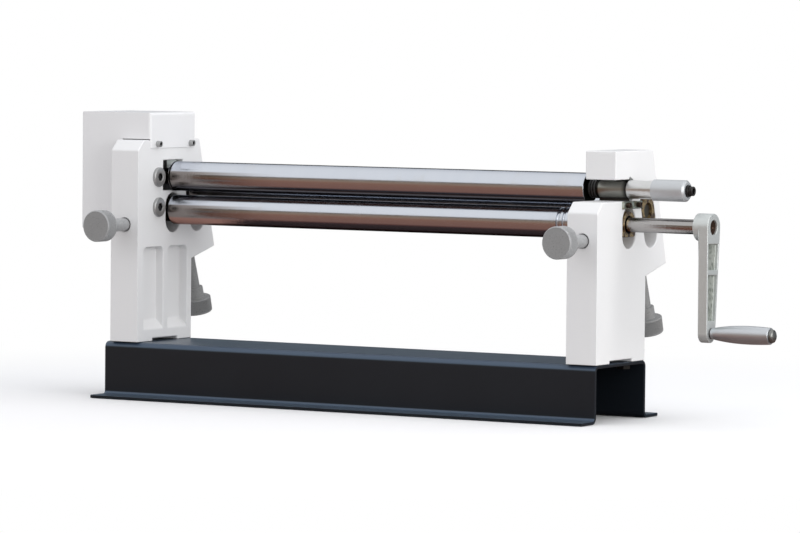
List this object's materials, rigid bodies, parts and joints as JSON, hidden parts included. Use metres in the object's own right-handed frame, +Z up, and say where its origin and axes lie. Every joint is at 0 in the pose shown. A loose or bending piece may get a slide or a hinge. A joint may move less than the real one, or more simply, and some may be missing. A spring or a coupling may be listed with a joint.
{
  "type": "hand-cranked three-roll bending machine",
  "caption": "Benchtop three-roll sheet bending machine with a hand crank, pinch rolls, an adjustable rear roll and a bent-sheet base.",
  "frame": {"origin": "middle of the four bench bolt holes, at bench level", "axes": "+X along the rolls towards the crank, -Y towards the operator, +Z up"},
  "size_m": [0.9745, 0.2547, 0.3645],
  "materials": {
    "white_paint": "semi-gloss white paint over a casting",
    "white_sheet": "semi-gloss white powder coat on sheet",
    "black_paint": "satin anthracite paint on bent sheet",
    "roll_steel": "fine turned and polished steel",
    "screw_steel": "plain steel",
    "idler_steel": "turned steel with a dark socket",
    "plated_steel": "bright zinc plate",
    "yellow_zinc": "zinc plate with a yellow tint",
    "dark_steel": "blackened steel",
    "oily_bronze": "bronze under brown oil",
    "cast_aluminium": "as-cast aluminium",
    "turned_aluminium": "satin turned aluminium",
    "black_rubber": "matt black",
    "grey_plastic": "matt mid-grey moulded plastic"
  },
  "bodies": {
    "frame": {"base_channel": "black_paint", "left_housing": "white_paint", "right_housing": "white_paint", "left_front_bolt": "screw_steel", "left_rear_bolt": "screw_steel", "right_front_bolt": "screw_steel", "right_rear_bolt": "screw_steel", "gear_cover": "white_sheet", "cover_screw_front": "plated_steel", "cover_screw_rear": "plated_steel", "upper_idler_axle": "idler_steel", "lower_idler_axle": "idler_steel", "journal_seat": "plated_steel", "retaining_plate": "yellow_zinc", "retaining_screw_front": "dark_steel", "retaining_screw_rear": "dark_steel"},
    "lower_carriage": {"lower_left_bearing": "oily_bronze", "lower_right_bearing": "oily_bronze"},
    "lower_roll": {"lower_roll": "roll_steel", "crank_arm": "cast_aluminium", "handle_spindle": "turned_aluminium"},
    "crank_handle": {"crank_handle": "turned_aluminium"},
    "upper_swing": {"swivel_bearing": "dark_steel"},
    "upper_roll": {"upper_roll": "roll_steel", "inner_ring": "black_rubber", "middle_ring": "black_rubber", "outer_ring": "black_rubber", "release_collar": "plated_steel", "release_grip": "turned_aluminium", "grip_screw": "dark_steel"},
    "rear_carriage": {"rear_left_bearing": "oily_bronze", "rear_right_bearing": "oily_bronze", "rear_left_screw": "screw_steel", "rear_right_screw": "screw_steel"},
    "rear_roll": {"rear_roll": "roll_steel"},
    "rear_left_knob": {"rear_left_knob": "grey_plastic"},
    "rear_right_knob": {"rear_right_knob": "grey_plastic"},
    "front_left_screw": {"front_left_screw": "screw_steel"},
    "front_right_screw": {"front_right_screw": "screw_steel"},
    "front_left_knob": {"front_left_knob": "grey_plastic"},
    "front_right_knob": {"front_right_knob": "grey_plastic"}
  },
  "joints": [
    {"name": "lower_carriage_lift", "type": "slide", "parent": "frame", "child": "lower_carriage", "axis": [0, 0, 1], "range_m": [0, 0.0045]},
    {"name": "lower_roll_turn", "type": "hinge", "parent": "lower_carriage", "child": "lower_roll", "pos_m": [0, 0.014, 0.2394], "axis": [1, 0, 0], "continuous": true},
    {"name": "crank_handle_turn", "type": "hinge", "parent": "lower_roll", "child": "crank_handle", "pos_m": [0.516, 0.00953, 0.11148], "axis": [1, 0, 0], "continuous": true},
    {"name": "upper_roll_swing", "type": "hinge", "parent": "frame", "child": "upper_swing", "pos_m": [-0.328, 0.014, 0.2825], "axis": [0, 0, -1], "range_deg": [0, 7]},
    {"name": "upper_roll_turn", "type": "hinge", "parent": "upper_swing", "child": "upper_roll", "pos_m": [0, 0.014, 0.2825], "axis": [1, 0, 0], "continuous": true},
    {"name": "rear_carriage_slide", "type": "slide", "parent": "frame", "child": "rear_carriage", "axis": [0, -0.2588, 0.9659], "range_m": [-0.012, 0.015]},
    {"name": "rear_roll_turn", "type": "hinge", "parent": "rear_carriage", "child": "rear_roll", "pos_m": [0, 0.06323, 0.25498], "axis": [1, 0, 0], "continuous": true},
    {"name": "rear_left_knob_turn", "type": "hinge", "parent": "rear_carriage", "child": "rear_left_knob", "pos_m": [-0.328, 0.06323, 0.25498], "axis": [0, -0.2588, 0.9659], "range_deg": [-2470, 3087]},
    {"name": "rear_right_knob_turn", "type": "hinge", "parent": "rear_carriage", "child": "rear_right_knob", "pos_m": [0.339, 0.06323, 0.25498], "axis": [0, -0.2588, 0.9659], "range_deg": [-2470, 3087]},
    {"name": "front_left_screw_feed", "type": "slide", "parent": "frame", "child": "front_left_screw", "axis": [0, 1, 0], "range_m": [0, 0.01637]},
    {"name": "front_right_screw_feed", "type": "slide", "parent": "frame", "child": "front_right_screw", "axis": [0, 1, 0], "range_m": [0, 0.01637]},
    {"name": "front_left_knob_turn", "type": "hinge", "parent": "front_left_screw", "child": "front_left_knob", "pos_m": [-0.328, -0.067, 0.2215], "axis": [0, 1, 0], "range_deg": [0, 3367]},
    {"name": "front_right_knob_turn", "type": "hinge", "parent": "front_right_screw", "child": "front_right_knob", "pos_m": [0.339, -0.067, 0.2215], "axis": [0, 1, 0], "range_deg": [0, 3367]}
  ],
  "couplings": [
    {"joint": "upper_roll_turn", "follows": "lower_roll_turn", "ratio": -1},
    {"joint": "front_left_screw_feed", "follows": "lower_carriage_lift", "ratio": 3.6364},
    {"joint": "front_right_screw_feed", "follows": "lower_carriage_lift", "ratio": 3.6364},
    {"joint": "front_left_knob_turn", "follows": "lower_carriage_lift", "rad_per_m": 13056},
    {"joint": "front_right_knob_turn", "follows": "lower_carriage_lift", "rad_per_m": 13056},
    {"joint": "rear_left_knob_turn", "follows": "rear_carriage_slide", "rad_per_m": 3590.4},
    {"joint": "rear_right_knob_turn", "follows": "rear_carriage_slide", "rad_per_m": 3590.4}
  ]
}
